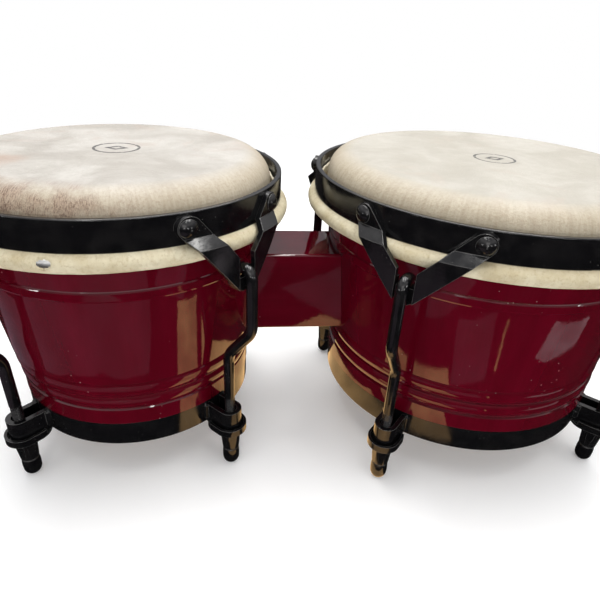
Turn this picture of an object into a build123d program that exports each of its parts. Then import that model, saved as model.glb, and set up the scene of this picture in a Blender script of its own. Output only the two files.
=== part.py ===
"""Pair of bongo drums: two tapered wooden shells joined by a block, each with a rawhide head,
a tension hoop on four V-shaped straps, four J-hook tuning rods, a foot ring and four cap nuts.

Millimetres, +Z up, standing on z = 0. X runs through both drum axes, -Y is the player's side.
The macho (small drum) is on -X and the hembra (large drum) on +X.
"""
from build123d import *
from collections import namedtuple
from math import asin, cos, degrees, radians, sin, sqrt
import os

os.makedirs("parts", exist_ok=True)

# ---------------------------------------------------------------- driving dimensions
Drum = namedtuple("Drum", "name x hoop_r shell_r low_r foot_r rivet_t seat rim_turn play corners")

# hoop_r: tension hoop's outer radius.  shell_r: shell's outer radius at the head's shoulder.
# low_r: shell's outer radius just above the beads.  foot_r: foot ring's outer radius.
# rivet_t: a rivet's distance from its strap's centre plane.  seat: height of the rods' seats.
# rim_turn: how many degrees the rods' upper ends are turned round from their saddles.
# play: how many degrees the straps sit round from the rods' hooks.
# corners: bearings of the four saddles, in degrees.
MACHO_CORNERS = {"front_left": -135, "front_right": -44.2, "back_right": 44, "back_left": 138}
HEMBRA_CORNERS = {"front_left": -132, "front_right": -44, "back_right": 46, "back_left": 143.2}
MACHO = Drum("macho", -125.5, 96.0, 88.2, 77.2, 74.0, 27.8, 142.6, 0.7, -1.1, MACHO_CORNERS)
HEMBRA = Drum("hembra", 107.5, 114.0, 105.0, 96.2, 95.2, 31.6, 145.4, 0.4, 0.2, HEMBRA_CORNERS)

# heights above the ground
HOOP_TOP = 182.0
HOOP_HEIGHT = 16.0
HOOP_THICK = 3.0
WRAP_Z = 161.2          # centre of the skin-wrapped flesh hoop
BAND_TOP, BAND_LOW = 141.0, 134.5
BEAD_TOP, BEAD_MID, BEAD_LOW = 78.0, 67.5, 58.0
RING_TOP, RING_LOW = 47.4, 31.0

# shell and head
WALL = 10.5
SKIN = 1.0
SHOULDER = 15.0         # radius of the head's rounded edge, on its outside
SHOULDER_Z = 176.2      # where the head's edge turns vertical
SKIN_GAP = 0.1
WIRE_R = 3.5            # flesh hoop's steel wire
WRAP_R = 4.5            # the wire with the skin round it
WRAP_IN = 0.5           # how far inside the tension hoop's outer radius the wire runs
TAIL_TOP = 174.5        # trimmed edge of the skin, inside the tension hoop
BEAD_UP, BEAD_DOWN = 0.8, 1.7   # how far a bead's surface falls back, above and below its crest
BEAD_CREST = 4.6        # a crest's depth below the groove above it
FOOT_RISE = 0.4         # the shell's plain lower band, outside the foot ring
BAND_RISE = 1.0

# centre block
BLOCK_HALF = 21.5
BLOCK_LOW, BLOCK_TOP = 79.0, 133.0
BLOCK_EDGE = 1.6
BOLT_HEIGHTS = (93.0, 119.0)
BOLT_R = 4.0
BOLT_GRIP = 24.0        # how deep a bolt screws into the block
BOLT_HEAD_R, BOLT_HEAD = 7.5, 5.3
WASHER_R, WASHER = 12.0, 2.0

# straps
STRAP = 3.0
STRAP_HALF = 5.9
JOGGLE_TOP, JOGGLE_LOW = 168.9, 164.0
JOGGLE_EASE = 0.9       # how much higher the outer face bends
JOGGLE_OUT = 5.4
FOLD_HALF = 5.5         # half the inner width of the channel that the rod lies in
FOLD_TIP, FOLD_MID = 134.2, 146.6
SEAT_IN = 2.5
WALL_RISE = 4.5         # how far the channel's walls stand above the seat
ARM_OVERRUN = 8.0       # length of an arm's outline that the channel cuts off
RIVET_Z = 174.8
RIVET_R, RIVET_HEAD_R, RIVET_DOME = 2.5, 4.9, 2.7

# tuning rods and nuts
ROD_R, THREAD_R = 3.3, 2.9
ROD_OUT = 9.5           # rod axis, outside the tension hoop
HOOK_R = 5.5
HOOK_GAP = 0.1          # the hook clears its seat by this much
HOOK_TIP = 6.0
BEND_TOP, BEND_LOW, BEND_R = 108.5, 86.5, 14.0
THREAD_TOP, ROD_END = 54.0, 7.5
THREAD_FIT = 0.07       # radial clearance of rod thread and nut
NUT_TOP, NUT_LOW = 28.5, 13.6
NUT_FLATS, NUT_TAPER = 12.2, 3.6
TIP_R, TIP_NECK_R = 5.3, 4.7
TIP_FLAT_R = 2.4
NUT_BORE_END = 6.0

# foot ring, saddles and keepers
RING_THICK = 2.6
SADDLE_OUT = 14.0       # rod axis, outside the foot ring
SADDLE_R, SADDLE_THICK = 7.2, 3.0
SADDLE_TOP = 45.4
WELD_R = 1.9
KEEPER_R, KEEPER_SHIFT = 10.2, 6.0
KEEPER_LOW, KEEPER_LIP = 28.6, 34.0
LIP_THICK = 1.6
KEEPER_HOLE_R = 3.7
KEEPER_CLEAR = 4.6      # the rim stops this far from the foot ring


# ---------------------------------------------------------------- planes and helpers
def save(builder, name):
    builder.part.label = name
    export_step(builder.part, f"parts/{name}.step")


def axis_of(drum):
    return Axis((drum.x, 0, 0), (0, 0, 1))


def lathe_plane(drum):
    """Local x is the distance from the drum's axis, local y is the height."""
    return Plane(origin=(drum.x, 0, 0), x_dir=(1, 0, 0), z_dir=(0, -1, 0))


def radial_plane(drum, bearing):
    """Like the lathe plane, turned to a bearing round the drum's axis."""
    c, s = cos(radians(bearing)), sin(radians(bearing))
    return Plane(origin=(drum.x, 0, 0), x_dir=(c, s, 0), z_dir=(s, -c, 0))


def facing_plane(drum, bearing, distance, height=0.0):
    """A plane facing outwards; local x runs round the drum and local y is the height."""
    c, s = cos(radians(bearing)), sin(radians(bearing))
    origin = (drum.x + distance * c, distance * s, height)
    return Plane(origin=origin, x_dir=(-s, c, 0), z_dir=(c, s, 0))


def level_plane(drum, bearing, distance, height):
    """A level plane at a rod's axis; local x points outwards."""
    c, s = cos(radians(bearing)), sin(radians(bearing))
    origin = (drum.x + distance * c, distance * s, height)
    return Plane(origin=origin, x_dir=(c, s, 0), z_dir=(0, 0, 1))


def taper_r(drum, z):
    """The shell's plain outer radius at a height."""
    slope = (drum.shell_r - drum.low_r) / (SHOULDER_Z - BEAD_TOP)
    return drum.low_r + slope * (z - BEAD_TOP)


def hook_bearing(drum, bearing):
    """Bearing of the upper end of the rod whose saddle is at this bearing."""
    return bearing + drum.rim_turn


def strap_bearing(drum, bearing):
    """Bearing of the strap over the saddle at this bearing."""
    return hook_bearing(drum, bearing) + drum.play


def rivet_bearings(drum, bearing):
    """Bearings of the two rivets of the strap over the saddle at this bearing."""
    spread = degrees(asin(drum.rivet_t / drum.hoop_r))
    return (strap_bearing(drum, bearing) - spread, strap_bearing(drum, bearing) + spread)


def lower_r(drum):
    """Distance of a rod's lower end from the drum's axis."""
    return drum.foot_r + SADDLE_OUT


# ---------------------------------------------------------------- shells
def crest_r(drum, z):
    """Radius of the beads' crests at a height: the taper carried on down to the lower band."""
    share = (BEAD_TOP - z) / (BEAD_TOP - BEAD_LOW)
    return drum.low_r + (drum.foot_r + 2 * FOOT_RISE - drum.low_r) * share


def bead(drum, top, low):
    """One bead of the lathed outline, from the groove below it to the groove above it."""
    crest = crest_r(drum, top - BEAD_CREST)
    ThreePointArc((crest - BEAD_DOWN, low), (crest, top - BEAD_CREST), (crest - BEAD_UP, top))
    return (crest - BEAD_DOWN, low), (crest - BEAD_UP, top)


def make_shell(drum):
    inner_top = drum.shell_r - WALL
    flat_r = drum.shell_r + SKIN + SKIN_GAP - SHOULDER
    round_r = SHOULDER - SKIN - SKIN_GAP
    edge_z = SHOULDER_Z + sqrt(round_r ** 2 - (inner_top + 1.0 - flat_r) ** 2)
    foot = drum.foot_r - RING_THICK - 0.1
    mid_z = (SHOULDER_Z + edge_z) / 2 + 2.4
    mid_r = flat_r + sqrt(round_r ** 2 - (mid_z - SHOULDER_Z) ** 2)
    band = taper_r(drum, (BAND_TOP + BAND_LOW) / 2) + BAND_RISE
    lower_band = drum.foot_r + FOOT_RISE
    with BuildPart() as shell:
        with BuildSketch(lathe_plane(drum)):
            with BuildLine():
                low_start, low_end = bead(drum, BEAD_MID - 0.3, BEAD_LOW)
                top_start, top_end = bead(drum, BEAD_TOP, BEAD_MID)
                Polyline((foot, RING_LOW + 1), (foot, RING_TOP), (lower_band, RING_TOP),
                         (lower_band, BEAD_LOW - 0.6), low_start)
                Line(low_end, top_start)
                Polyline(top_end, (taper_r(drum, BEAD_TOP + 0.6), BEAD_TOP + 0.6),
                         (taper_r(drum, BAND_LOW), BAND_LOW),
                         (band - 0.3, BAND_LOW + 0.5), (band, BAND_LOW + 1.3),
                         (band, BAND_TOP - 1.3), (band - 0.3, BAND_TOP - 0.5),
                         (taper_r(drum, BAND_TOP), BAND_TOP),
                         (drum.shell_r, SHOULDER_Z))
                ThreePointArc((drum.shell_r, SHOULDER_Z), (mid_r, mid_z), (inner_top + 1.0, edge_z))
                Polyline((inner_top + 1.0, edge_z), (inner_top, edge_z - 1.2),
                         (foot - WALL + 2.0, RING_LOW + 1), (foot, RING_LOW + 1))
            make_face()
        revolve(axis=axis_of(drum))
        side = -1 if drum.x > 0 else 1
        for z in BOLT_HEIGHTS:
            with BuildSketch(Plane(origin=(drum.x, 0, z), x_dir=(0, 1, 0), z_dir=(side, 0, 0))):
                Circle(BOLT_R + 0.3)
            extrude(amount=drum.hoop_r, mode=Mode.SUBTRACT)
    save(shell, f"{drum.name}_shell")
    return shell


# ---------------------------------------------------------------- centre block and its bolts
def shell_cone(drum, grow):
    """The shell's plain outside, grown a little, to cut the block's hollow ends."""
    with BuildPart() as cone:
        with BuildSketch(lathe_plane(drum)):
            with BuildLine():
                Polyline((0, BLOCK_LOW - 9), (taper_r(drum, BLOCK_LOW - 9) + grow, BLOCK_LOW - 9),
                         (taper_r(drum, BLOCK_TOP + 9) + grow, BLOCK_TOP + 9), (0, BLOCK_TOP + 9),
                         (0, BLOCK_LOW - 9))
            make_face()
        revolve(axis=axis_of(drum))
    return cone


def make_block():
    # local x of this plane is the model's y, so the block's section is drawn y by z
    left = MACHO.x + taper_r(MACHO, BLOCK_TOP) - 8
    right = HEMBRA.x - taper_r(HEMBRA, BLOCK_TOP) + 8
    with BuildPart() as block:
        with BuildSketch(Plane(origin=(left, 0, 0), x_dir=(0, 1, 0), z_dir=(1, 0, 0))):
            with Locations((0, (BLOCK_LOW + BLOCK_TOP) / 2)):
                Rectangle(2 * BLOCK_HALF, BLOCK_TOP - BLOCK_LOW)
        extrude(amount=right - left)
        fillet(block.edges().filter_by(Axis.X), BLOCK_EDGE)
        add(shell_cone(MACHO, 0.05).part, mode=Mode.SUBTRACT)
        add(shell_cone(HEMBRA, 0.05).part, mode=Mode.SUBTRACT)
        for drum in (MACHO, HEMBRA):
            side = -1 if drum.x > 0 else 1
            for z in BOLT_HEIGHTS:
                reach = taper_r(drum, z) + BOLT_GRIP + 1
                with BuildSketch(Plane(origin=(drum.x, 0, z), x_dir=(0, 1, 0),
                                       z_dir=(side, 0, 0))):
                    Circle(BOLT_R + 0.02)
                extrude(amount=reach, mode=Mode.SUBTRACT)
    save(block, "centre_block")


def inner_r(drum, z):
    """The shell's inner radius at a height."""
    top_r, top_z = drum.shell_r - WALL, SHOULDER_Z + 10.0
    low_r, low_z = drum.foot_r - RING_THICK - 0.1 - WALL + 2.0, RING_LOW + 1
    return low_r + (top_r - low_r) * (z - low_z) / (top_z - low_z)


def make_bolts(drum):
    side = -1 if drum.x > 0 else 1
    with BuildPart() as bolts:
        for z in BOLT_HEIGHTS:
            seat = inner_r(drum, z) - 2.2 - WASHER
            start = Plane(origin=(drum.x + side * seat, 0, z), x_dir=(0, 1, 0), z_dir=(side, 0, 0))
            with BuildSketch(start):
                Circle(BOLT_R)
            extrude(amount=taper_r(drum, z) + BOLT_GRIP - seat)
            with BuildSketch(start):
                RegularPolygon(BOLT_HEAD_R, 6)
            extrude(amount=-BOLT_HEAD)
    save(bolts, f"{drum.name}_block_bolts")
    with BuildPart() as washers:
        for z in BOLT_HEIGHTS:
            seat = inner_r(drum, z) - 2.2 - WASHER
            start = Plane(origin=(drum.x + side * seat, 0, z), x_dir=(0, 1, 0), z_dir=(side, 0, 0))
            with BuildSketch(start):
                Circle(WASHER_R)
                Circle(BOLT_R + 0.2, mode=Mode.SUBTRACT)
            extrude(amount=WASHER)
    save(washers, f"{drum.name}_block_washers")


# ---------------------------------------------------------------- heads
def make_skin(drum):
    out_r = drum.shell_r + SKIN + SKIN_GAP
    in_r = out_r - SKIN
    flat_r = out_r - SHOULDER
    top = SHOULDER_Z + SHOULDER
    half = SHOULDER / sqrt(2)
    in_half = (SHOULDER - SKIN) / sqrt(2)
    wire_r = drum.hoop_r - WRAP_IN
    tail_out = drum.hoop_r - HOOP_THICK - 0.4
    with BuildPart() as skin:
        with BuildSketch(lathe_plane(drum)):
            with BuildLine():
                Line((0, top), (flat_r, top))
                ThreePointArc((flat_r, top), (flat_r + half, SHOULDER_Z + half), (out_r, SHOULDER_Z))
                Polyline((out_r, SHOULDER_Z), (out_r, WRAP_Z + 5), (wire_r - 4.2, WRAP_Z + 0.6),
                         (wire_r - 3.6, WRAP_Z - 2.0), (in_r, WRAP_Z + 4), (in_r, SHOULDER_Z))
                ThreePointArc((in_r, SHOULDER_Z), (flat_r + in_half, SHOULDER_Z + in_half),
                              (flat_r, top - SKIN))
                Polyline((flat_r, top - SKIN), (0, top - SKIN), (0, top))
            make_face()
            with Locations((wire_r, WRAP_Z)):
                Circle(WRAP_R)
            with Locations((tail_out - SKIN / 2, (WRAP_Z + 2.6 + TAIL_TOP) / 2)):
                Rectangle(SKIN, TAIL_TOP - WRAP_Z - 2.6)
            with Locations((wire_r, WRAP_Z)):
                Circle(WIRE_R + 0.05, mode=Mode.SUBTRACT)
        revolve(axis=axis_of(drum))
    save(skin, f"{drum.name}_head_skin")
    with BuildPart() as wire:
        with BuildSketch(lathe_plane(drum)):
            with Locations((wire_r, WRAP_Z)):
                Circle(WIRE_R)
        revolve(axis=axis_of(drum))
    save(wire, f"{drum.name}_flesh_hoop")


# ---------------------------------------------------------------- tension hoop, straps, rivets
def cut_rivet_holes(drum, bearing, depth):
    for at in rivet_bearings(drum, bearing):
        with BuildSketch(facing_plane(drum, at, drum.hoop_r - depth, RIVET_Z)) as hole:
            Circle(RIVET_R + 0.05)
        extrude(hole.sketch, amount=depth + 2 * STRAP, mode=Mode.SUBTRACT)


def make_hoop(drum):
    with BuildPart() as hoop:
        with BuildSketch(lathe_plane(drum)):
            with Locations((drum.hoop_r - HOOP_THICK / 2, HOOP_TOP - HOOP_HEIGHT / 2)):
                RectangleRounded(HOOP_THICK, HOOP_HEIGHT, 0.6)
        revolve(axis=axis_of(drum))
        for bearing in drum.corners.values():
            cut_rivet_holes(drum, bearing, 2 * HOOP_THICK)
    save(hoop, f"{drum.name}_tension_hoop")


def arm_run(drum):
    """Rise, width and length of an arm's centre line, from the channel to the rivet."""
    slope_z = RIVET_Z - FOLD_MID
    slope_t = drum.rivet_t - FOLD_HALF
    return slope_z, slope_t, sqrt(slope_z ** 2 + slope_t ** 2)


def arm_low(drum, t):
    """Height of an arm's lower edge at a distance from the strap's centre plane."""
    slope_z, slope_t, run = arm_run(drum)
    return FOLD_MID - STRAP_HALF * run / slope_t + (t - FOLD_HALF) * slope_z / slope_t


def arm_outline(drum):
    """Both arms of the V as seen from outside; the channel's width is left open."""
    slope_z, slope_t, run = arm_run(drum)
    for side in (-1, 1):
        turn = degrees(asin(slope_z / run))
        reach = (run + ARM_OVERRUN) / 2
        centre = (side * (drum.rivet_t - reach * slope_t / run), RIVET_Z - reach * slope_z / run)
        with Locations(Location(centre, side * turn)):
            SlotCenterToCenter(2 * reach, 2 * STRAP_HALF)
    Rectangle(2 * FOLD_HALF, 4 * HOOP_TOP, mode=Mode.SUBTRACT)


def make_strap(drum, corner, bearing):
    inner = drum.hoop_r + 0.05
    outer = inner + STRAP
    out = JOGGLE_OUT - 0.05
    facing = strap_bearing(drum, bearing)
    wide = FOLD_HALF + STRAP
    low = arm_low(drum, FOLD_HALF) - 0.01
    wide_low = arm_low(drum, wide)
    wall_top = drum.seat + WALL_RISE
    with BuildPart() as strap:
        with BuildSketch(lathe_plane(drum)):
            with BuildLine():
                Polyline((inner, HOOP_TOP + 1), (inner, JOGGLE_TOP), (inner + out, JOGGLE_LOW),
                         (inner + out, FOLD_TIP - 9), (outer + out, FOLD_TIP - 9),
                         (outer + out, JOGGLE_LOW + JOGGLE_EASE), (outer, JOGGLE_TOP + JOGGLE_EASE),
                         (outer, HOOP_TOP + 1), (inner, HOOP_TOP + 1))
            make_face()
        revolve(axis=axis_of(drum))
        with BuildSketch(facing_plane(drum, facing, 0.5 * drum.hoop_r)):
            arm_outline(drum)
        extrude(amount=drum.hoop_r, mode=Mode.INTERSECT)
        # the channel: two walls folded in, and the seat that the rod's hook sits on
        with BuildSketch(facing_plane(drum, facing, drum.hoop_r + SEAT_IN)):
            for side in (-1, 1):
                with BuildLine():
                    Polyline((side * FOLD_HALF, low), (side * wide, wide_low),
                             (side * wide, wall_top), (side * FOLD_HALF, wall_top),
                             (side * FOLD_HALF, low))
                make_face()
        extrude(amount=JOGGLE_OUT + STRAP / 2 - SEAT_IN)
        with BuildSketch(facing_plane(drum, facing, drum.hoop_r + SEAT_IN)):
            with BuildLine():
                Polyline((0, FOLD_TIP), (FOLD_HALF, low), (wide, wide_low), (wide, drum.seat),
                         (-wide, drum.seat), (-wide, wide_low), (-FOLD_HALF, low), (0, FOLD_TIP))
            make_face()
        extrude(amount=STRAP)
        cut_rivet_holes(drum, bearing, 1.0)
    save(strap, f"{drum.name}_strap_{corner}")


def make_rivets(drum):
    """Domed heads outside the straps, shanks through strap and hoop, flush inside."""
    tip = drum.hoop_r - HOOP_THICK + 0.1
    head = drum.hoop_r + 0.05 + STRAP
    dome_r = (RIVET_HEAD_R ** 2 + RIVET_DOME ** 2) / (2 * RIVET_DOME)
    with BuildPart() as rivets:
        for bearing in drum.corners.values():
            for at in rivet_bearings(drum, bearing):
                with BuildSketch(facing_plane(drum, at, tip, RIVET_Z)):
                    Circle(RIVET_R)
                extrude(amount=head - tip + 0.6)
                plane = radial_plane(drum, at)
                half = dome_r * sin(asin(RIVET_HEAD_R / dome_r) / 2)
                rise = sqrt(dome_r ** 2 - half ** 2) - (dome_r - RIVET_DOME)
                with BuildSketch(plane):
                    with BuildLine():
                        Line((head, RIVET_Z), (head + RIVET_DOME, RIVET_Z))
                        ThreePointArc((head + RIVET_DOME, RIVET_Z), (head + rise, RIVET_Z + half),
                                      (head, RIVET_Z + RIVET_HEAD_R))
                        Line((head, RIVET_Z + RIVET_HEAD_R), (head, RIVET_Z))
                    make_face()
                spin = Axis(plane.from_local_coords((0, RIVET_Z, 0)), plane.x_dir)
                revolve(axis=spin)
    save(rivets, f"{drum.name}_rivets")


# ---------------------------------------------------------------- rods and nuts
def hook_z(drum):
    """Height of the centre of a rod's hook, resting on its seat."""
    return drum.seat - sqrt((HOOK_R - ROD_R) ** 2 - (STRAP / 2) ** 2) + HOOK_GAP


def make_rod(drum, corner, bearing):
    up_r = drum.hoop_r + ROD_OUT
    low_r = lower_r(drum)
    tip_r = up_r - 2 * HOOK_R
    z = hook_z(drum)
    upper = radial_plane(drum, hook_bearing(drum, bearing)).from_local_coords
    lower = radial_plane(drum, bearing).from_local_coords
    with BuildPart() as rod:
        with BuildLine():
            tip = Line(upper((tip_r, z - HOOK_TIP, 0)), upper((tip_r, z, 0)))
            hook = ThreePointArc(tip @ 1, upper((up_r - HOOK_R, z + HOOK_R, 0)), upper((up_r, z, 0)))
            FilletPolyline(hook @ 1, upper((up_r, BEND_TOP, 0)), lower((low_r, BEND_LOW, 0)),
                           lower((low_r, THREAD_TOP, 0)), radius=BEND_R)
        with BuildSketch(Plane(origin=tip @ 0, z_dir=(0, 0, 1))):
            Circle(ROD_R)
        sweep()
        fillet(rod.edges().filter_by(GeomType.CIRCLE).group_by(Axis.Z)[0], 0.6)
        with BuildSketch(level_plane(drum, bearing, low_r, THREAD_TOP + 0.5)):
            Circle(THREAD_R)
        extrude(amount=ROD_END - THREAD_TOP - 0.5)
    save(rod, f"{drum.name}_rod_{corner}")


def make_nut(drum, corner, bearing):
    at = lower_r(drum)
    spin = Axis(level_plane(drum, bearing, at, 0).origin, (0, 0, 1))
    with BuildPart() as nut:
        with BuildSketch(level_plane(drum, bearing, at, NUT_TOP)):
            RegularPolygon(NUT_FLATS / 2, 6, major_radius=False)
        extrude(amount=-(NUT_TOP - NUT_LOW), taper=NUT_TAPER)
        with BuildSketch(radial_plane(drum, bearing)):
            with BuildLine():
                Polyline((at, NUT_TOP), (at + NUT_FLATS / 2 - 0.4, NUT_TOP),
                         (at + NUT_FLATS / 2 + 0.5, NUT_TOP - 1.2),
                         (at + TIP_R, NUT_LOW), (at, NUT_LOW), (at, NUT_TOP))
            make_face()
        revolve(axis=spin, mode=Mode.INTERSECT)
        with BuildSketch(radial_plane(drum, bearing)):
            with BuildLine():
                Polyline((at, NUT_LOW + 1), (at + TIP_NECK_R, NUT_LOW + 1),
                         (at + TIP_NECK_R, NUT_LOW - 0.8), (at + TIP_R - 0.3, NUT_LOW - 1.2))
                ThreePointArc((at + TIP_R - 0.3, NUT_LOW - 1.2), (at + TIP_R + 0.1, NUT_LOW - 5),
                              (at + TIP_R, NUT_LOW - 8.0))
                ThreePointArc((at + TIP_R, NUT_LOW - 8.0), (at + TIP_R - 0.9, 2.0),
                              (at + TIP_FLAT_R, 0))
                Polyline((at + TIP_FLAT_R, 0), (at, 0), (at, NUT_LOW + 1))
            make_face()
        revolve(axis=spin)
        with BuildSketch(level_plane(drum, bearing, at, NUT_TOP)):
            Circle(THREAD_R + THREAD_FIT)
        extrude(amount=NUT_BORE_END - NUT_TOP, mode=Mode.SUBTRACT)
    save(nut, f"{drum.name}_nut_{corner}")


# ---------------------------------------------------------------- foot ring, saddles, keepers
def make_ring(drum):
    with BuildPart() as ring:
        with BuildSketch(lathe_plane(drum)):
            with Locations((drum.foot_r - RING_THICK / 2, (RING_TOP + RING_LOW) / 2)):
                RectangleRounded(RING_THICK, RING_TOP - RING_LOW, 0.5)
        revolve(axis=axis_of(drum))
    save(ring, f"{drum.name}_foot_ring")


def slot_outline(radius, length, mode=Mode.ADD):
    """A round end at the rod's axis and straight sides running inwards."""
    Circle(radius, mode=mode)
    with Locations((-length / 2, 0)):
        Rectangle(length, 2 * radius, mode=mode)


def make_saddles(drum):
    """Four welded U-shaped strips that the rods pass through."""
    with BuildPart() as saddles:
        for bearing in drum.corners.values():
            with BuildSketch(level_plane(drum, bearing, lower_r(drum), RING_LOW)):
                slot_outline(SADDLE_R, SADDLE_OUT + 6)
                slot_outline(SADDLE_R - SADDLE_THICK, SADDLE_OUT + 7, Mode.SUBTRACT)
            extrude(amount=SADDLE_TOP - RING_LOW)
            with BuildSketch(level_plane(drum, bearing, drum.foot_r, KEEPER_LIP + 1.2)):
                with Locations((0.2, SADDLE_R + 0.4), (0.2, -SADDLE_R - 0.4)):
                    Circle(WELD_R)
            extrude(amount=SADDLE_TOP - KEEPER_LIP - 1.8)
        with BuildSketch(Plane(origin=(drum.x, 0, RING_LOW - 1), z_dir=(0, 0, 1))):
            Circle(drum.foot_r + 0.02)
        extrude(amount=RING_TOP - RING_LOW + 4, mode=Mode.SUBTRACT)
    save(saddles, f"{drum.name}_saddles")


def stadium(radius):
    Circle(radius)
    with Locations((-KEEPER_SHIFT, 0)):
        Circle(radius)
    with Locations((-KEEPER_SHIFT / 2, 0)):
        Rectangle(KEEPER_SHIFT, 2 * radius)


def make_keeper(drum, corner, bearing):
    """A dished plate under the saddle, with its rim turned up round it."""
    at = lower_r(drum)
    with BuildPart() as keeper:
        with BuildSketch(level_plane(drum, bearing, at, KEEPER_LOW)):
            stadium(KEEPER_R)
        extrude(amount=KEEPER_LIP - KEEPER_LOW)
        chamfer(keeper.faces().sort_by(Axis.Z)[0].edges(), 0.7)
        with BuildSketch(level_plane(drum, bearing, at, RING_LOW - 0.02)):
            stadium(KEEPER_R - LIP_THICK)
        extrude(amount=KEEPER_LIP, mode=Mode.SUBTRACT)
        with BuildSketch(level_plane(drum, bearing, at, KEEPER_LOW)):
            Circle(KEEPER_HOLE_R)
        extrude(amount=KEEPER_LIP, mode=Mode.SUBTRACT)
        with BuildSketch(Plane(origin=(drum.x, 0, RING_LOW - 0.02), z_dir=(0, 0, 1))):
            Circle(drum.foot_r + KEEPER_CLEAR)
        extrude(amount=KEEPER_LIP, mode=Mode.SUBTRACT)
    save(keeper, f"{drum.name}_keeper_{corner}")


# ---------------------------------------------------------------- assembly
make_block()
for drum in (MACHO, HEMBRA):
    make_shell(drum)
    make_bolts(drum)
    make_skin(drum)
    make_hoop(drum)
    make_rivets(drum)
    make_ring(drum)
    make_saddles(drum)
    for corner, bearing in drum.corners.items():
        make_strap(drum, corner, bearing)
        make_rod(drum, corner, bearing)
        make_nut(drum, corner, bearing)
        make_keeper(drum, corner, bearing)
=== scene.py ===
"""Looks for the bongo drums: camera, light, procedural materials and the small pieces that CAD leaves out.

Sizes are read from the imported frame. Everything is in metres, in the CAD's frame.
"""

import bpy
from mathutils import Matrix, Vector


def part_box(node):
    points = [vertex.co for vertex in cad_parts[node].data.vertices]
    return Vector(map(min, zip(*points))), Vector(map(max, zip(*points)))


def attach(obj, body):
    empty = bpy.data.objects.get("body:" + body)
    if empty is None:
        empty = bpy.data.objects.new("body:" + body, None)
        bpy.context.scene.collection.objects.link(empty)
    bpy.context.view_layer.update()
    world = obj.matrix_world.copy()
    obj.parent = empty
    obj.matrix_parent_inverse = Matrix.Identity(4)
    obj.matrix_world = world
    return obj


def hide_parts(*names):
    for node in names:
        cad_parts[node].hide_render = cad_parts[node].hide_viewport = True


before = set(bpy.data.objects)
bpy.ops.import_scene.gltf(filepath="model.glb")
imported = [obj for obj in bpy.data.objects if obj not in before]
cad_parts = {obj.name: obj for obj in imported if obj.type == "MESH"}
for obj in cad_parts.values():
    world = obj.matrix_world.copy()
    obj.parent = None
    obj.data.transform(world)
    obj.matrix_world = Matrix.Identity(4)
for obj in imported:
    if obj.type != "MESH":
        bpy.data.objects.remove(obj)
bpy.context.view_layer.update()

import math

import bmesh
import bpy
from mathutils import Matrix, Vector, noise

MM = 0.001
TURN = 2 * math.pi
CORNERS = ("front_left", "front_right", "back_right", "back_left")


# ---------------------------------------------------------------- sizes, read from the frame
class Drum:
    """One drum's main sizes, as its CAD nodes have them."""

    def __init__(self, name):
        self.name = name
        low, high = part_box(f"{name}_tension_hoop")
        self.x = (low.x + high.x) / 2
        self.hoop_r = (high.x - low.x) / 2
        self.hoop_top = high.z
        low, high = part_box(f"{name}_shell")
        self.shell_r = (high.x - low.x) / 2
        _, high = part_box(f"{name}_head_skin")
        self.head_top = high.z
        low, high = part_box(f"{name}_foot_ring")
        self.foot_r = (high.x - low.x) / 2
        self.ring_low = low.z

    def rod_axis(self, corner):
        """Where the lower end of a rod runs, from the nut round it."""
        low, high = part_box(f"{self.name}_nut_{corner}")
        return (low.x + high.x) / 2, (low.y + high.y) / 2

    def bearing(self, corner):
        """Which way a rod stands from the drum's axis, in radians from +X."""
        x, y = self.rod_axis(corner)
        return math.atan2(y, x - self.x)

    def point(self, radius, bearing, height):
        """A point at a radius and bearing round the drum's axis."""
        return Vector((self.x + radius * math.cos(bearing), radius * math.sin(bearing), height))


MACHO = Drum("macho")
HEMBRA = Drum("hembra")
DRUMS = (MACHO, HEMBRA)


# ---------------------------------------------------------------- camera
def make_camera():
    """The photo's view: from in front of the small drum, looking down and a little to the right."""
    place = Vector((-0.0551, -0.3048, 0.2589))
    yaw, pitch, roll = 0.1491, 0.5083, 0.0620
    level = Vector((math.sin(yaw), math.cos(yaw), 0))
    forward = math.cos(pitch) * level - math.sin(pitch) * Vector((0, 0, 1))
    right = Vector((math.cos(yaw), -math.sin(yaw), 0))
    up = right.cross(forward)
    right_rolled = math.cos(roll) * right + math.sin(roll) * up
    up_rolled = math.cos(roll) * up - math.sin(roll) * right
    data = bpy.data.cameras.new("camera")
    data.sensor_width = 36.0
    data.lens = 29.66
    data.shift_x = -0.00865
    data.shift_y = 0.0027
    data.clip_start = 0.01
    camera = bpy.data.objects.new("camera", data)
    bpy.context.scene.collection.objects.link(camera)
    turn = Matrix((right_rolled, up_rolled, -forward)).transposed()
    camera.matrix_world = Matrix.Translation(place) @ turn.to_4x4()
    bpy.context.scene.camera = camera


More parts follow.
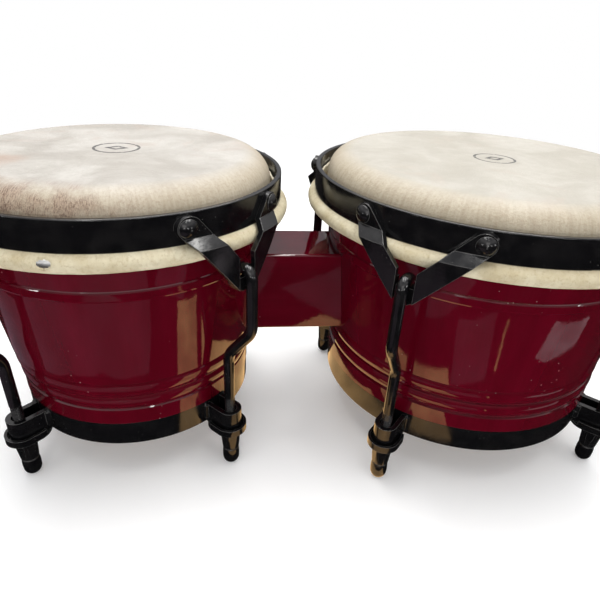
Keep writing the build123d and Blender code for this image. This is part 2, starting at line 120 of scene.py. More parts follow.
# ---------------------------------------------------------------- node helpers
class Look:
    """A material with one Principled shader, and short calls for the nodes that feed it."""

    def __init__(self, name):
        self.material = bpy.data.materials.new(name)
        self.material.use_nodes = True
        self.tree = self.material.node_tree
        self.shader = self.tree.nodes["Principled BSDF"]
        self.place = self.tree.nodes.new("ShaderNodeTexCoord").outputs["Object"]

    def put(self, socket, value):
        """Gives an input a number, a colour or another node's output."""
        if isinstance(value, bpy.types.NodeSocket):
            self.tree.links.new(value, socket)
        elif hasattr(socket, "default_value") and isinstance(value, tuple) and len(value) == 3:
            length = len(socket.default_value)
            socket.default_value = value + (1.0,) if length == 4 else value
        else:
            socket.default_value = value

    def set(self, name, value):
        """Feeds one of the shader's own inputs."""
        self.put(self.shader.inputs[name], value)

    def math(self, operation, first, second=0.0):
        node = self.tree.nodes.new("ShaderNodeMath")
        node.operation = operation
        self.put(node.inputs[0], first)
        self.put(node.inputs[1], second)
        return node.outputs[0]

    def add(self, first, second):
        return self.math("ADD", first, second)

    def times(self, first, second):
        return self.math("MULTIPLY", first, second)

    def length(self, first, second):
        """The length of a level vector, from its two parts."""
        return self.math("SQRT", self.add(self.times(first, first), self.times(second, second)))

    def split(self, vector):
        node = self.tree.nodes.new("ShaderNodeSeparateXYZ")
        self.put(node.inputs[0], vector)
        return node.outputs

    def join(self, x, y, z):
        node = self.tree.nodes.new("ShaderNodeCombineXYZ")
        for socket, value in zip(node.inputs, (x, y, z)):
            self.put(socket, value)
        return node.outputs[0]

    def vector(self, operation, first, second):
        node = self.tree.nodes.new("ShaderNodeVectorMath")
        node.operation = operation
        self.put(node.inputs[0], first)
        self.put(node.inputs[1], second)
        return node.outputs

    def scaled(self, vector, scale):
        return self.vector("MULTIPLY", vector, scale)["Vector"]

    def shifted(self, vector, shift):
        return self.vector("ADD", vector, shift)["Vector"]

    def noise(self, vector, scale, detail=3.0, rough=0.5, distortion=0.0):
        """Cloudy noise from 0 to 1. Its scale is in lumps to the metre."""
        node = self.tree.nodes.new("ShaderNodeTexNoise")
        self.put(node.inputs["Vector"], vector)
        node.inputs["Scale"].default_value = scale
        node.inputs["Detail"].default_value = detail
        node.inputs["Roughness"].default_value = rough
        node.inputs["Distortion"].default_value = distortion
        return node.outputs["Fac"]

    def cells(self, vector, scale):
        """Distance to the nearest of many scattered points, in the spacing between them."""
        node = self.tree.nodes.new("ShaderNodeTexVoronoi")
        self.put(node.inputs["Vector"], vector)
        node.inputs["Scale"].default_value = scale
        return node.outputs["Distance"]

    def step(self, value, low, high, out_low=0.0, out_high=1.0):
        """A smooth step from out_low to out_high as value goes from low to high."""
        node = self.tree.nodes.new("ShaderNodeMapRange")
        node.interpolation_type = "SMOOTHSTEP"
        self.put(node.inputs["Value"], value)
        self.put(node.inputs["From Min"], low)
        self.put(node.inputs["From Max"], high)
        self.put(node.inputs["To Min"], out_low)
        self.put(node.inputs["To Max"], out_high)
        return node.outputs["Result"]

    def mix(self, share, first, second):
        """Goes from the first colour to the second as share goes from 0 to 1."""
        node = self.tree.nodes.new("ShaderNodeMix")
        node.data_type = "RGBA"
        node.clamp_factor = True
        self.put(node.inputs["Factor"], share)
        self.put(node.inputs[6], first)
        self.put(node.inputs[7], second)
        return node.outputs[2]

    def bump(self, height, depth, below=None):
        """Relief of a depth in metres, on top of another normal if one is given."""
        node = self.tree.nodes.new("ShaderNodeBump")
        node.inputs["Strength"].default_value = 1.0
        node.inputs["Distance"].default_value = depth
        self.put(node.inputs["Height"], height)
        if below is not None:
            self.put(node.inputs["Normal"], below)
        return node.outputs["Normal"]

    def polar(self, x):
        """Distance from a drum's axis, height, and a point on the unit circle for the bearing."""
        px, py, pz = self.split(self.place)
        dx = self.math("SUBTRACT", px, x)
        radius = self.length(dx, py)
        safe = self.math("MAXIMUM", radius, 1 * MM)
        return radius, pz, self.math("DIVIDE", dx, safe), self.math("DIVIDE", py, safe)


# ---------------------------------------------------------------- materials
WINE, WINE_BRIGHT, WINE_DEEP = (0.072, 0.0006, 0.0056), (0.094, 0.0010, 0.0080), (0.058, 0.0005, 0.0030)
WINE_LINT = (0.55, 0.42, 0.40)
WOOD, WOOD_DARK, WOOD_LIGHT = (0.46, 0.29, 0.15), (0.27, 0.155, 0.075), (0.55, 0.37, 0.21)
LACQUER_REACH = 5.5 * MM    # how far in from a shell's outside the lacquer goes


def lacquer(name, drum=None):
    """Wine-red stain under gloss lacquer. On a shell, the inside is bare oiled wood."""
    look = Look(name)
    along = (1.0, 1.0, 0.045) if drum else (0.06, 1.0, 1.0)
    grain_place = look.scaled(look.place, along)
    pores = look.step(look.noise(grain_place, 900.0, 4.0, 0.6), 0.35, 0.75)
    broad = look.noise(grain_place, 60.0, 2.0, 0.5)
    red = look.mix(look.step(broad, 0.3, 0.7), WINE, WINE_BRIGHT)
    red = look.mix(look.times(pores, 0.30), red, WINE_DEEP)
    dust = look.cells(look.place, 230.0)
    patchy = look.step(look.noise(look.place, 30.0, 2.0), 0.55, 0.70)
    specks = look.times(look.step(dust, 0.10, 0.06), patchy)
    red = look.mix(look.times(specks, 0.5), red, WINE_LINT)
    haze = look.noise(look.place, 55.0, 3.0, 0.6)
    rough = look.add(look.step(haze, 0.35, 0.75, 0.035, 0.085), look.times(specks, 0.3))
    ripple = look.noise(look.place, 38.0, 1.5, 0.4)
    normal = look.bump(ripple, 0.26 * MM)
    normal = look.bump(look.noise(look.place, 420.0, 2.0), 0.014 * MM, normal)
    if drum:
        radius, height, _, _ = look.polar(drum.x)
        taper = (drum.shell_r - drum.foot_r) / (drum.hoop_top - drum.ring_low)
        limit = look.add(look.times(height, taper), drum.foot_r - drum.ring_low * taper - LACQUER_REACH)
        inside = look.step(look.math("SUBTRACT", limit, radius), 0.0, 0.6 * MM)
        wood = look.mix(pores, WOOD, WOOD_DARK)
        wood = look.mix(look.step(broad, 0.4, 0.62), wood, WOOD_LIGHT)
        red = look.mix(inside, red, wood)
        rough = look.add(look.times(inside, 0.42), rough)
    look.set("Base Color", red)
    look.set("Roughness", rough)
    look.set("Normal", normal)
    look.set("IOR", 1.54)
    return look.material


# light, dark and warm hide on top of each head
HAIRY_HIDE = (0.455, 0.435, 0.402), (0.335, 0.312, 0.280), (0.380, 0.312, 0.270)
CLEAN_HIDE = (0.440, 0.418, 0.372), (0.360, 0.337, 0.290), (0.410, 0.352, 0.300)
# painted highlight: the light colour of the glint dots on the hide
HIDE_PAINTED_GLINT = (0.70, 0.68, 0.63)
TAN, TAN_LIGHT, TAN_PORES = (0.370, 0.305, 0.208), (0.460, 0.396, 0.288), (0.290, 0.215, 0.130)
TAN_LOW = (0.42, 0.32, 0.17)
HAIR_ROOTS, HAIR = (0.250, 0.140, 0.090), (0.085, 0.040, 0.024)
STAIN = (0.340, 0.225, 0.165)
STAIN_X, STAIN_Y = -181 * MM, -33 * MM
INK = (0.030, 0.030, 0.032)


def rawhide(name, drum, hairy):
    """Scraped hide: pale and cloudy on top, tan on the rolled side, with fine grain, painted glints of light
    and a printed ring.
    """
    look = Look(name)
    radius, height, east, north = look.polar(drum.x)
    cloud = look.noise(look.place, 22.0, 4.0, 0.6, 0.8)
    blotch = look.noise(look.shifted(look.place, (3.0, 1.0, 2.0)), 70.0, 5.0, 0.68)
    veins = look.noise(look.shifted(look.place, (1.0, 5.0, 0.0)), 16.0, 5.0, 0.7, 1.6)
    fibre_place = look.join(east, north, look.times(radius, 1.4))
    fibres = look.noise(fibre_place, 46.0, 4.0, 0.65)
    grain = look.noise(look.place, 760.0, 3.0, 0.7)
    light, dark, warm = HAIRY_HIDE if hairy else CLEAN_HIDE
    pale = look.mix(look.step(cloud, 0.32, 0.68), dark, light)
    pale = look.mix(look.times(look.step(blotch, 0.46, 0.70), 0.32), pale, dark)
    pale = look.mix(look.times(look.step(veins, 0.54, 0.66), 0.40), pale, warm)
    pale = look.mix(look.times(look.step(grain, 0.50, 0.72), 0.42), pale, dark)
    # painted highlight: small light dots in the base colour that stand in for glints of light on the hide's
    # grain
    painted_glint = look.times(look.step(grain, 0.36, 0.24), 0.45)
    pale = look.mix(painted_glint, pale, HIDE_PAINTED_GLINT)
    edge = look.step(radius, drum.shell_r - 17 * MM, drum.shell_r - 1 * MM)
    tan = look.mix(look.step(fibres, 0.3, 0.7), TAN, TAN_LIGHT)
    tan = look.mix(look.times(look.step(grain, 0.46, 0.66), 0.50), tan, TAN_PORES)
    colour = look.mix(look.times(edge, 0.80), pale, tan)
    low_side = look.step(height, drum.head_top - 15 * MM, drum.head_top - 27 * MM)
    colour = look.mix(look.times(low_side, 0.45), colour, TAN_LOW)
    if hairy:
        colour = hair_left_on(look, colour, drum)
        colour = stained(look, colour, blotch)
    ink = printed_ring(look, drum)
    worn = look.step(look.noise(look.place, 620.0, 3.0, 0.7), 0.34, 0.46)
    colour = look.mix(look.times(look.times(ink, worn), 0.90), colour, INK)
    look.set("Base Color", colour)
    look.set("Roughness", look.step(blotch, 0.3, 0.7, 0.44, 0.60))
    normal = look.bump(cloud, 1.0 * MM)
    normal = look.bump(grain, 0.22 * MM, normal)
    normal = look.bump(fibres, 0.12 * MM, normal)
    look.set("Normal", normal)
    look.set("IOR", 1.46)
    return look.material


def hair_left_on(look, colour, drum):
    """Short brown hairs that the scraping left near a head's front left edge."""
    radius, height, east, north = look.polar(drum.x)
    front = look.step(look.add(look.times(east, -0.50), look.times(north, -0.86)), 0.58, 0.96)
    out = look.step(radius, 66 * MM, 88 * MM)
    patch_place = look.shifted(look.place, (0.0, 2.0, 0.0))
    patch = look.step(look.noise(patch_place, 48.0, 3.0, 0.6), 0.38, 0.60)
    spread = look.times(look.times(front, out), patch)
    hair_place = look.join(east, north, look.times(height, 3.0))
    strands = look.step(look.noise(hair_place, 210.0, 3.0, 0.8), 0.47, 0.60)
    colour = look.mix(look.times(spread, 0.50), colour, HAIR_ROOTS)
    return look.mix(look.times(look.times(spread, strands), 0.88), colour, HAIR)


def stained(look, colour, blotch):
    """A brown patch on the small drum's head, with an edge broken up by the blotches."""
    dx, dy, _ = look.split(look.shifted(look.place, (-STAIN_X, -STAIN_Y, 0.0)))
    reach = look.add(look.length(dx, dy), look.times(blotch, 30 * MM))
    return look.mix(look.times(look.step(reach, 36 * MM, 18 * MM), 0.60), colour, STAIN)


# the print on the heads: a ring, and a hollow diamond in its middle
PRINT_RING_R = 12.5 * MM
PRINT_RING_HALF = 0.85 * MM
PRINT_DIAMOND = 7.0 * MM
PRINT_HOLLOW = 3.2 * MM
DIAMOND_SHAPE = 1.35        # how much wider than deep


def printed_ring(look, drum):
    """A plain ring with a diamond in it, printed on the middle of the head. Returns the ink's share."""
    px, py, pz = look.split(look.place)
    dx = look.math("SUBTRACT", px, drum.x)
    off_ring = look.math("ABSOLUTE", look.math("SUBTRACT", look.length(dx, py), PRINT_RING_R))
    ring = look.step(off_ring, PRINT_RING_HALF + 0.15 * MM, PRINT_RING_HALF - 0.15 * MM)
    size = look.add(look.math("ABSOLUTE", dx), look.math("ABSOLUTE", look.times(py, DIAMOND_SHAPE)))
    diamond = look.step(size, PRINT_DIAMOND + 0.2 * MM, PRINT_DIAMOND - 0.2 * MM)
    hollow = look.step(size, PRINT_HOLLOW - 0.2 * MM, PRINT_HOLLOW + 0.2 * MM)
    on_top = look.step(pz, drum.head_top - 4 * MM, drum.head_top - 3 * MM)
    return look.times(on_top, look.math("MAXIMUM", ring, look.times(diamond, hollow)))


WAXY, WAXY_LIGHT = (0.500, 0.425, 0.265), (0.640, 0.585, 0.425)
WAXY_CREASE, WAXY_PORES = (0.380, 0.290, 0.150), (0.330, 0.250, 0.140)
WAXY_TAIL = (0.78, 0.73, 0.60)


def wrapped_hide(name, drum):
    """The skin's rolled and trimmed edge: yellower, waxy, with darker creases and frayed fibres."""
    look = Look(name)
    _, height, east, north = look.polar(drum.x)
    round_place = look.join(east, north, look.times(height, 7.0))
    streaks = look.noise(round_place, 34.0, 4.0, 0.65)
    fine = look.noise(look.place, 700.0, 3.0, 0.65)
    cloud = look.noise(look.place, 60.0, 3.0, 0.6)
    colour = look.mix(look.step(cloud, 0.3, 0.7), WAXY, WAXY_LIGHT)
    colour = look.mix(look.times(look.step(streaks, 0.50, 0.75), 0.40), colour, WAXY_CREASE)
    colour = look.mix(look.times(look.step(fine, 0.50, 0.72), 0.40), colour, WAXY_PORES)
    tail = look.step(height, drum.hoop_top - 16.5 * MM, drum.hoop_top - 10.5 * MM)
    colour = look.mix(look.times(tail, 0.45), colour, WAXY_TAIL)
    look.set("Base Color", colour)
    look.set("Roughness", look.step(cloud, 0.3, 0.7, 0.42, 0.58))
    normal = look.bump(streaks, 0.7 * MM)
    normal = look.bump(fine, 0.12 * MM, normal)
    look.set("Normal", normal)
    return look.material


COAT, COAT_LIGHT = (0.0030, 0.0030, 0.0036), (0.0060, 0.0058, 0.0062)
COAT_DUST = (0.35, 0.33, 0.30)
# lighter coat colour for the edges: partly worn paint, partly a painted highlight
COAT_WEAR_AND_HIGHLIGHT = (0.150, 0.145, 0.140)


def black_coat(name, worn_highlit_edge=0.55 * MM, gloss=0.10):
    """Black gloss coat on steel: orange peel, dust, and edges painted a little lighter, partly worn paint
    and partly a painted edge highlight.
    """
    look = Look(name)
    edge = look.tree.nodes.new("ShaderNodeBevel")
    edge.samples = 4
    edge.inputs["Radius"].default_value = worn_highlit_edge
    flat = look.tree.nodes.new("ShaderNodeNewGeometry").outputs["Normal"]
    facing = look.vector("DOT_PRODUCT", edge.outputs["Normal"], flat)["Value"]
    rounding = look.step(facing, 0.995, 0.90)
    peel = look.noise(look.place, 520.0, 2.0, 0.5)
    slow = look.noise(look.place, 120.0, 2.0, 0.5)
    fleck = look.cells(look.place, 420.0)
    patchy = look.step(look.noise(look.place, 70.0, 2.0), 0.50, 0.64)
    specks = look.times(look.step(fleck, 0.10, 0.06), patchy)
    colour = look.mix(look.step(slow, 0.35, 0.7), COAT, COAT_LIGHT)
    colour = look.mix(look.times(specks, 0.28), colour, COAT_DUST)
    # painted highlight and wear: the rounded edges get a lighter base colour, partly worn paint and partly a
    # painted highlight along the edge
    wear_and_highlight = look.step(look.noise(look.place, 160.0, 4.0, 0.7), 0.30, 0.62, 0.25, 0.85)
    colour = look.mix(look.times(rounding, wear_and_highlight), colour, COAT_WEAR_AND_HIGHLIGHT)
    look.set("Base Color", colour)
    rough = look.add(look.step(slow, 0.3, 0.75, gloss, gloss + 0.10), look.times(specks, 0.3))
    look.set("Roughness", rough)
    normal = look.bump(slow, 0.05 * MM, edge.outputs["Normal"])
    normal = look.bump(peel, 0.022 * MM, normal)
    look.set("Normal", normal)
    look.set("IOR", 1.50)
    return look.material


ZINC, ZINC_RUBBED = (0.42, 0.42, 0.43), (0.72, 0.72, 0.70)


def zinc_steel(name):
    """Bright plated steel with faint spangle and rub marks."""
    look = Look(name)
    spangle = look.cells(look.place, 900.0)
    rub = look.noise(look.scaled(look.place, (1.0, 1.0, 6.0)), 220.0, 4.0, 0.7)
    colour = look.mix(look.step(rub, 0.35, 0.7), ZINC, ZINC_RUBBED)
    look.set("Base Color", colour)
    look.set("Metallic", 1.0)
    look.set("Roughness", look.step(rub, 0.3, 0.7, 0.24, 0.42))
    look.set("Normal", look.bump(spangle, 0.03 * MM))
    return look.material


PAPER, PAPER_LIGHT = (0.86, 0.86, 0.86), (0.90, 0.90, 0.90)
PAPER_SOLID, PAPER_GONE = 0.45, 1.05    # where it starts to fade out, and where it's gone
PAPER_GLOW = 0.17


def pale_floor():
    """White paper that glows a little and fades out into the white surroundings."""
    look = Look("paper")
    mottle = look.noise(look.place, 30.0, 2.0)
    look.set("Base Color", look.mix(mottle, PAPER, PAPER_LIGHT))
    look.set("Roughness", 0.85)
    look.set("Specular IOR Level", 0.1)
    look.set("Emission Color", (1.0, 1.0, 1.0))
    look.set("Emission Strength", PAPER_GLOW)
    px, py, _ = look.split(look.place)
    look.set("Alpha", look.step(look.length(px, py), PAPER_SOLID, PAPER_GONE, 1.0, 0.0))
    return look.material


# ---------------------------------------------------------------- meshes
def new_piece(name, mesh_data, material, body, replaced=()):
    """Links a finished mesh as one piece that rides on a body, and may stand for CAD nodes."""
    mesh_data.materials.append(material)
    piece = bpy.data.objects.new(name, mesh_data)
    bpy.context.scene.collection.objects.link(piece)
    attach(piece, body)
    if replaced:
        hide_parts(*replaced)


def mesh_from(name, verts, faces, smooth=True):
    """A mesh with all its faces turned outward."""
    data = bpy.data.meshes.new(name)
    data.from_pydata(verts, [], faces)
    data.validate()
    if smooth:
        data.shade_smooth()
    shape = bmesh.new()
    shape.from_mesh(data)
    bmesh.ops.recalc_face_normals(shape, faces=shape.faces)
    shape.to_mesh(data)
    shape.free()
    return data


def ring_faces(columns, rows, closed_rows):
    """Quads of a grid that closes round its columns, and round its rows as well if asked."""
    faces = []
    last = rows if closed_rows else rows - 1
    for c in range(columns):
        for r in range(last):
            a = c * rows + r
            b = c * rows + (r + 1) % rows
            d = (c + 1) % columns * rows + r
            e = (c + 1) % columns * rows + (r + 1) % rows
            faces.append((a, d, e, b))
    return faces


def wave(drum, bearing, count, seed, height=0.0):
    """Smooth noise that runs round a drum without a seam, about -1 to 1."""
    reach = count / TURN
    layer = height * 100 + seed * 7.3 + drum.x * 50
    return noise.noise(Vector((reach * math.cos(bearing), reach * math.sin(bearing), layer)))


# ---------------------------------------------------------------- heads
SKIN = 1.0 * MM
SKIN_GAP = 1.1 * MM         # the head's side, outside the shell
SHOULDER = 15.0 * MM
WIRE_IN = 0.5 * MM          # the flesh hoop's centre, inside the tension hoop's outside
WRAP_R = 4.5 * MM
WRAP_DROP = 20.8 * MM       # the flesh hoop's centre, under the tension hoop's top
HOOP_THICK = 3.0 * MM
TAIL_DROP = 7.5 * MM        # the trimmed edge, under the tension hoop's top
TAIL_FOOT_OUT, TAIL_FOOT_IN = math.radians(68), math.radians(125)     # where the tail leaves the wrap
CHIP_BEARING = math.radians(261.6)
CHIP_UP = math.radians(20)  # the chip's middle, round the wrap from its outermost line
CHIP_LONG = 3.4 * MM        # half its length round the drum
CHIP_DEEP = math.radians(36)    # half its width round the wrap
CHIP_R = 3.2 * MM           # the wrap's radius in the chip


def membrane_outline(drum):
    """(radius, height) from the middle of the top, over the shoulder, down to the wrap and back inside."""
    out_r = drum.shell_r + SKIN_GAP
    flat_r = out_r - SHOULDER
    turn_z = drum.head_top - SHOULDER
    wire_r = drum.hoop_r - WIRE_IN
    wire_z = drum.hoop_top - WRAP_DROP
    rings, bends = 14, 12
    top = [(flat_r * k / rings, drum.head_top) for k in range(1, rings)]
    hollow = SHOULDER - SKIN
    outer, inner = [], []
    for k in range(bends + 1):
        angle = math.pi / 2 * (1 - k / bends)
        outer.append((flat_r + SHOULDER * math.cos(angle), turn_z + SHOULDER * math.sin(angle)))
        inner.append((flat_r + hollow * math.cos(angle), turn_z + hollow * math.sin(angle)))
    side = [(out_r, turn_z - 3 * MM), (out_r, wire_z + 7 * MM), (out_r + 0.2 * MM, wire_z + 5 * MM)]
    flare = [(wire_r - 4.0 * MM, wire_z + 0.8 * MM), (wire_r - 3.6 * MM, wire_z - 1.8 * MM)]
    back = [(out_r - SKIN, wire_z + 4 * MM)]
    under = [(flat_r * k / 4, drum.head_top - SKIN) for k in (3, 2, 1)]
    return top + outer + side + flare + back + inner[::-1] + under


def make_membrane(drum, material):
    """The drumhead's skin, stretched flat on top and a little uneven where it turns down."""
    columns = 288
    outline = membrane_outline(drum)
    rows = len(outline)
    out_r = drum.shell_r + SKIN_GAP
    even = 0.8              # the share of the radius that stays quite flat
    verts = []
    for c in range(columns):
        bearing = TURN * c / columns
        for r, z in outline:
            edge = max(0.0, (r / out_r - even) / (1 - even))
            swell = 0.22 * MM * wave(drum, bearing, 14, 1, z) + 0.10 * MM * wave(drum, bearing, 60, 2, z)
            verts.append(drum.point(r + edge * swell * 0.5, bearing, z - edge * abs(swell) * 0.6))
    faces = ring_faces(columns, rows, False)
    top_pole = len(verts)
    verts.append(Vector((drum.x, 0, drum.head_top)))
    low_pole = len(verts)
    verts.append(Vector((drum.x, 0, drum.head_top - SKIN)))
    for c in range(columns):
        after = (c + 1) % columns
        faces.append((top_pole, after * rows, c * rows))
        faces.append((low_pole, c * rows + rows - 1, after * rows + rows - 1))
    name = f"{drum.name}_head"
    new_piece(name, mesh_from(name, verts, faces), material, "root", (f"{drum.name}_head_skin",))


def in_chip(drum, bearing, around):
    """Whether a point of the wrap is inside the torn chip on the small drum's front."""
    if drum is not MACHO:
        return False
    along = (bearing - CHIP_BEARING) * (drum.hoop_r + 4 * MM) / CHIP_LONG
    across = (around - CHIP_UP) / CHIP_DEEP
    ragged = 0.35 * noise.noise(Vector((along * 2.3, across * 2.3, 4.0)))
    return along ** 2 + across ** 2 < 1.0 + ragged


def wrap_point(drum, bearing, around):
    """A point on the wrapped edge, lumpy as folded hide is."""
    wire_r = drum.hoop_r - WIRE_IN
    wire_z = drum.hoop_top - WRAP_DROP
    lump = 0.20 * wave(drum, bearing, 26, 3, math.sin(around) * 0.01)
    lump += 0.12 * wave(drum, bearing, 90, 4, math.cos(around) * 0.02)
    reach = CHIP_R if in_chip(drum, bearing, around) else WRAP_R + min(lump, 0.15) * MM
    return drum.point(wire_r + reach * math.cos(around), bearing, wire_z + reach * math.sin(around))


def tail_edge(drum, bearing):
    """Height and sideways wander of the trimmed edge at a bearing."""
    rise = 1.5 * wave(drum, bearing, 9, 5) + 1.0 * wave(drum, bearing, 40, 6)
    rise += 0.9 * wave(drum, bearing, 220, 7)
    wander = 0.9 * wave(drum, bearing, 12, 8)
    return drum.hoop_top - TAIL_DROP + rise * MM, wander * MM


def make_wrap(drum, material):
    """The skin's edge, rolled round the flesh hoop, and its trimmed tail behind the tension hoop."""
    columns, steps = 640, 26
    sweep = TURN - (TAIL_FOOT_IN - TAIL_FOOT_OUT)
    foot = drum.hoop_top - WRAP_DROP + WRAP_R
    inside_r = drum.hoop_r - HOOP_THICK - 0.9 * MM - SKIN
    outside_r = drum.hoop_r - HOOP_THICK - 0.35 * MM
    shares = (0.25, 0.6, 0.88, 1.0)     # the tail's rows, from its foot to its trimmed edge
    verts = []
    for c in range(columns):
        bearing = TURN * c / columns
        # down the wrap's outside from the tail's outer foot, and up the inside to its inner foot
        for k in range(steps):
            verts.append(wrap_point(drum, bearing, TAIL_FOOT_OUT - sweep * k / (steps - 1)))
        # up the tail's inside and down its outside, thinner towards the edge
        top, wander = tail_edge(drum, bearing)
        for radius, thin, rows in ((inside_r, -0.2 * MM, shares), (outside_r, 0.35 * MM, shares[::-1])):
            for share in rows:
                lean = min(wander * share, 0.0) - 0.15 * MM
                verts.append(drum.point(radius + lean - thin * share, bearing, foot + (top - foot) * share))
    name = f"{drum.name}_head_wrap"
    data = mesh_from(name, verts, ring_faces(columns, steps + 2 * len(shares), True))
    new_piece(name, data, material, "root", (f"{drum.name}_head_skin",))


# ---------------------------------------------------------------- rods' threads and weld beads
THREAD_PITCH = 1.0 * MM
THREAD_LOW, THREAD_HIGH = 29.3 * MM, 53.6 * MM
THREAD_ROOT, THREAD_CREST = 2.82 * MM, 3.22 * MM
ROOT_HALF, CREST_HALF = 0.46 * THREAD_PITCH, 0.08 * THREAD_PITCH
WELD_LOW, WELD_HIGH = 33.0 * MM, 46.2 * MM
WELD_ASIDE = 7.6 * MM       # from the middle of a saddle to each bead


def make_threads(drum, material):
    """One screw ridge round each rod's lower end, closed at both ends."""
    steps = 26
    turns = (THREAD_HIGH - THREAD_LOW) / THREAD_PITCH
    count = int(turns * steps)
    for corner in CORNERS:
        x, y = drum.rod_axis(corner)
        verts, faces = [], []
        for k in range(count + 1):
            angle = TURN * k / steps
            z = THREAD_LOW + THREAD_PITCH * k / steps
            ease = min(1.0, k / steps, (count - k) / steps)
            crest = THREAD_ROOT + (THREAD_CREST - THREAD_ROOT) * ease
            for r, dz in ((THREAD_ROOT, -ROOT_HALF), (crest, -CREST_HALF),
                          (crest, CREST_HALF), (THREAD_ROOT, ROOT_HALF)):
                verts.append(Vector((x + r * math.cos(angle), y + r * math.sin(angle), z + dz)))
        for k in range(count):
            for s in range(4):
                a, b = k * 4 + s, k * 4 + (s + 1) % 4
                faces.append((a, b, b + 4, a + 4))
        faces.append((0, 3, 2, 1))
        faces.append(tuple(count * 4 + s for s in range(4)))
        name = f"{drum.name}_thread_{corner}"
        data = mesh_from(name, verts, faces, smooth=False)
        new_piece(name, data, material, f"{drum.name}_rim")


def weld_bead(drum, bearing, side):
    """Vertices and faces of one lumpy upright bead, on one side of a saddle at a bearing."""
    rows, steps = 26, 14
    spin = side * math.asin(WELD_ASIDE / drum.foot_r)
    centre = drum.point(drum.foot_r + 0.3 * MM, bearing + spin, 0)
    verts, faces = [], []
    for r in range(rows):
        share = r / (rows - 1)
        z = WELD_LOW + (WELD_HIGH - WELD_LOW) * share
        blob = 0.5 + 0.5 * math.sin(share * TURN * 5.5 + side + drum.x * 90)
        girth = (1.45 + 0.75 * blob + 0.45 * wave(drum, bearing + spin, 30, 9, z * 4)) * MM
        girth *= min(1.0, math.sin(math.pi * min(max(share, 0.02), 0.98)) * 2.4)
        for s in range(steps):
            angle = TURN * s / steps
            reach = girth * (1 + 0.16 * noise.noise(Vector((angle * 1.3, z * 900, spin * 9))))
            verts.append(centre + Vector((reach * math.cos(angle), reach * math.sin(angle), z)))
    for r in range(rows - 1):
        for s in range(steps):
            a, b = r * steps + s, r * steps + (s + 1) % steps
            faces.append((a, b, b + steps, a + steps))
    faces.append(tuple(reversed(range(steps))))
    faces.append(tuple((rows - 1) * steps + s for s in range(steps)))
    return verts, faces


def make_welds(drum, material):
    """Beads where the saddles' legs meet the foot ring, eight on each drum."""
    verts, faces = [], []
    for corner in CORNERS:
        for side in (-1, 1):
            start = len(verts)
            bead, bead_faces = weld_bead(drum, drum.bearing(corner), side)
            verts += bead
            faces += [tuple(start + v for v in face) for face in bead_faces]
    name = f"{drum.name}_weld_beads"
    new_piece(name, mesh_from(name, verts, faces), material, "root")


# ---------------------------------------------------------------- light and surroundings
def soft_light(name, place, target, width, height, power, colour):
    """A rectangular lamp that shines from a place towards a target and isn't seen itself."""
    data = bpy.data.lights.new(name, "AREA")
    data.shape = "RECTANGLE"
    data.size = width
    data.size_y = height
    data.energy = power
    data.color = colour
    lamp = bpy.data.objects.new(name, data)
    bpy.context.scene.collection.objects.link(lamp)
    lamp.location = place
    lamp.rotation_euler = (Vector(target) - Vector(place)).to_track_quat("-Z", "Y").to_euler()
    lamp.visible_camera = False


def background(tree, stops):
    """A world background coloured by height, from stops of height (0 to 1, bottom to top) and colour."""
    place = tree.nodes.new("ShaderNodeTexCoord")
    split = tree.nodes.new("ShaderNodeSeparateXYZ")
    tree.links.new(place.outputs["Generated"], split.inputs[0])
    lift = tree.nodes.new("ShaderNodeMath")
    lift.operation = "MULTIPLY_ADD"
    lift.inputs[1].default_value = 0.5
    lift.inputs[2].default_value = 0.5
    tree.links.new(split.outputs["Z"], lift.inputs[0])
    ramp = tree.nodes.new("ShaderNodeValToRGB")
    bands = ramp.color_ramp.elements
    bands[0].position, bands[0].color = stops[0][0], stops[0][1] + (1,)
    bands[1].position, bands[1].color = stops[-1][0], stops[-1][1] + (1,)
    for spot, shade in stops[1:-1]:
        bands.new(spot).color = shade + (1,)
    tree.links.new(lift.outputs[0], ramp.inputs[0])
    node = tree.nodes.new("ShaderNodeBackground")
    tree.links.new(ramp.outputs[0], node.inputs["Color"])
    return node.outputs[0]


# the surroundings from straight down to straight up: soft light on the object, and a room in its gloss
SOFT_STOPS = (
    (0.44, (0.80, 0.78, 0.77)), (0.49, (0.30, 0.29, 0.29)), (0.60, (0.30, 0.30, 0.31)),
    (0.80, (0.50, 0.51, 0.53)), (1.0, (0.75, 0.76, 0.80)),
)
ROOM_STOPS = (
    (0.30, (0.020, 0.018, 0.018)), (0.42, (0.030, 0.026, 0.026)), (0.50, (0.16, 0.15, 0.15)),
    (0.58, (0.30, 0.30, 0.31)), (0.68, (0.45, 0.45, 0.47)), (0.80, (1.15, 1.12, 1.12)),
    (1.0, (0.50, 0.51, 0.54)),
)


def make_surroundings():
    """White behind the object, even soft light on it, and a dim room in its gloss."""
    world = bpy.data.worlds.new("surroundings")
    bpy.context.scene.world = world
    world.use_nodes = True
    tree = world.node_tree
    tree.nodes.clear()
    soft = background(tree, SOFT_STOPS)
    room = background(tree, ROOM_STOPS)
    white = tree.nodes.new("ShaderNodeBackground")
    white.inputs["Color"].default_value = (1, 1, 1, 1)
    path = tree.nodes.new("ShaderNodeLightPath")
    lit = tree.nodes.new("ShaderNodeMixShader")
    tree.links.new(path.outputs["Is Glossy Ray"], lit.inputs[0])
    tree.links.new(soft, lit.inputs[1])
    tree.links.new(room, lit.inputs[2])
    pick = tree.nodes.new("ShaderNodeMixShader")
    tree.links.new(path.outputs["Is Camera Ray"], pick.inputs[0])
    tree.links.new(lit.outputs[0], pick.inputs[1])
    tree.links.new(white.outputs[0], pick.inputs[2])
    out = tree.nodes.new("ShaderNodeOutputWorld")
    tree.links.new(pick.outputs[0], out.inputs["Surface"])
    bpy.context.scene.view_settings.view_transform = "Standard"


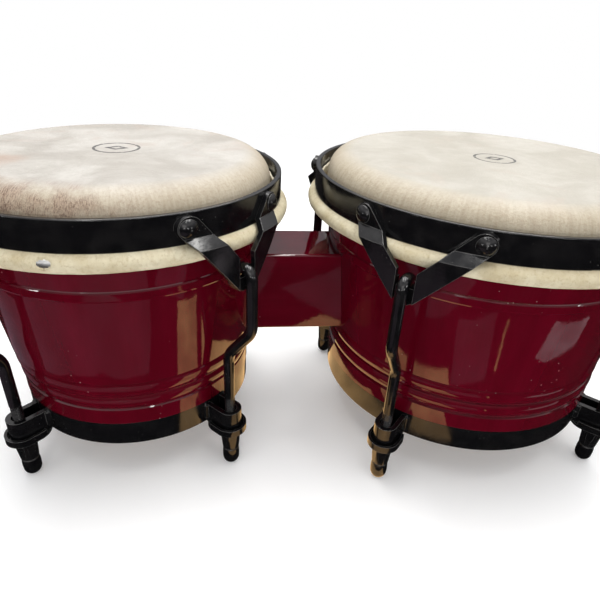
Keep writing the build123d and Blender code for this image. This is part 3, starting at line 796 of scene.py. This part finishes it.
def level_plane(name, corners, height, material):
    """A flat polygon on or near the ground that isn't part of the object."""
    data = bpy.data.meshes.new(name)
    data.from_pydata([(x, y, height) for x, y in corners], [], [tuple(range(len(corners)))])
    data.materials.append(material)
    plane = bpy.data.objects.new(name, data)
    bpy.context.scene.collection.objects.link(plane)
    return plane


def make_floor():
    """The paper under the drums. Their gloss doesn't show it, only the cards and the room."""
    half = 1.2
    corners = ((-half, -half), (half, -half), (half, half), (-half, half))
    floor = level_plane("floor", corners, 0.0, pale_floor())
    floor.visible_glossy = False


def glow(name, colour, strength):
    """A glowing card, cloudy between its colour and about half of that."""
    look = Look(name)
    mottle = look.noise(look.place, 14.0, 3.0, 0.6)
    shade = tuple(0.55 * part for part in colour)
    look.set("Base Color", (0.0, 0.0, 0.0))
    look.set("Emission Color", look.mix(look.step(mottle, 0.35, 0.65), shade, colour))
    look.set("Emission Strength", strength)
    look.material.cycles.emission_sampling = "NONE"
    return look.material


# Corners on the ground, in millimetres, of what the lacquer and the black coat reflect.
BROWN_CARDS = {
    "brown_front": ((-80, -85), (25, -170), (70, -130), (-45, -70)),
    "brown_middle": ((-35, -55), (-5, -80), (45, -100), (30, -60), (30, -20), (10, 60), (-30, 70), (-40, 0)),
    "brown_line": ((112, -270), (117, -270), (111, -195), (107, -195)),
}
DIM_CARDS = {
    "dim_left": ((-260, -65), (-225, -115), (-170, -150), (-85, -145), (-35, -220), (-10, -300),
                 (-200, -380), (-420, -110)),
    "dim_far_left": ((-260, -30), (-370, -55), (-430, 50), (-270, 60)),
    "dim_right": ((40, -160), (95, -185), (80, -280), (-10, -230)),
}
GREY_CARDS = {
    "grey_right": ((195, -200), (215, -180), (290, -150), (345, -165), (245, -235)),
}
CARD_LIFT = 0.6 * MM        # above the paper


def make_cards():
    """Cards that lie on the ground and show only in the drums' gloss."""
    brown = glow("brown_card", (1.0, 0.60, 0.25), 2.1)
    dim = glow("dim_card", (0.85, 0.50, 0.74), 0.17)
    grey = glow("grey_card", (0.85, 0.74, 0.80), 0.95)
    for outlines, material in ((BROWN_CARDS, brown), (DIM_CARDS, dim), (GREY_CARDS, grey)):
        for name, corners in outlines.items():
            outline = [(x * MM, y * MM) for x, y in corners]
            card = level_plane(name, outline, CARD_LIFT, material)
            card.visible_camera = False
            card.visible_diffuse = False
            card.visible_shadow = False
            card.visible_transmission = False


def make_lights():
    """A soft box overhead, a weak one in front, three tubes above, and four low lamps for glints."""
    middle = (0.0, 0.0, 0.1)
    lamp_far, lamp_high = 1.6, 0.34
    soft_light("overhead", (0.05, 0.25, 1.25), middle, 1.3, 1.1, 16.0, (1.0, 0.99, 0.97))
    soft_light("front", (-0.35, -1.5, 0.85), middle, 1.0, 0.6, 3.0, (1.0, 0.97, 0.95))
    for k, (x, y) in enumerate(((-0.35, 0.05), (0.05, -0.25), (0.45, 0.15))):
        soft_light(f"tube_{k}", (x, y, 1.1), (x, y, 0), 0.05, 0.9, 2.2, (1.0, 0.99, 0.96))
    for k, turned in enumerate((-60, -12, 18, 52)):
        side = math.radians(turned)
        place = (lamp_far * math.sin(side), -lamp_far * math.cos(side), lamp_high)
        soft_light(f"lamp_{k}", place, middle, 0.24, 0.08, 1.3, (1.0, 0.99, 0.97))


# ---------------------------------------------------------------- putting it together
def dress(node, material):
    """Gives a CAD node its material."""
    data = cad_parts[node].data
    data.materials.clear()
    data.materials.append(material)


def dress_frame():
    """Gives every CAD node its material, and adds the pieces that only Blender makes."""
    coat = black_coat("black_coat")
    thread_coat = black_coat("thread_coat", worn_highlit_edge=0.06 * MM, gloss=0.18)
    steel = zinc_steel("zinc_steel")
    dress("centre_block", lacquer("block_lacquer"))
    for drum in DRUMS:
        dress(f"{drum.name}_shell", lacquer(f"{drum.name}_lacquer", drum))
        for part in ("block_bolts", "block_washers", "flesh_hoop"):
            dress(f"{drum.name}_{part}", steel)
        for part in ("tension_hoop", "rivets", "foot_ring", "saddles"):
            dress(f"{drum.name}_{part}", coat)
        for corner in CORNERS:
            for part in ("strap", "rod", "nut", "keeper"):
                dress(f"{drum.name}_{part}_{corner}", coat)
        hide = rawhide(f"{drum.name}_rawhide", drum, drum is MACHO)
        dress(f"{drum.name}_head_skin", hide)
        make_membrane(drum, hide)
        make_wrap(drum, wrapped_hide(f"{drum.name}_wrapped_hide", drum))
        make_threads(drum, thread_coat)
        make_welds(drum, coat)


make_camera()
make_surroundings()
make_floor()
make_cards()
make_lights()
dress_frame()
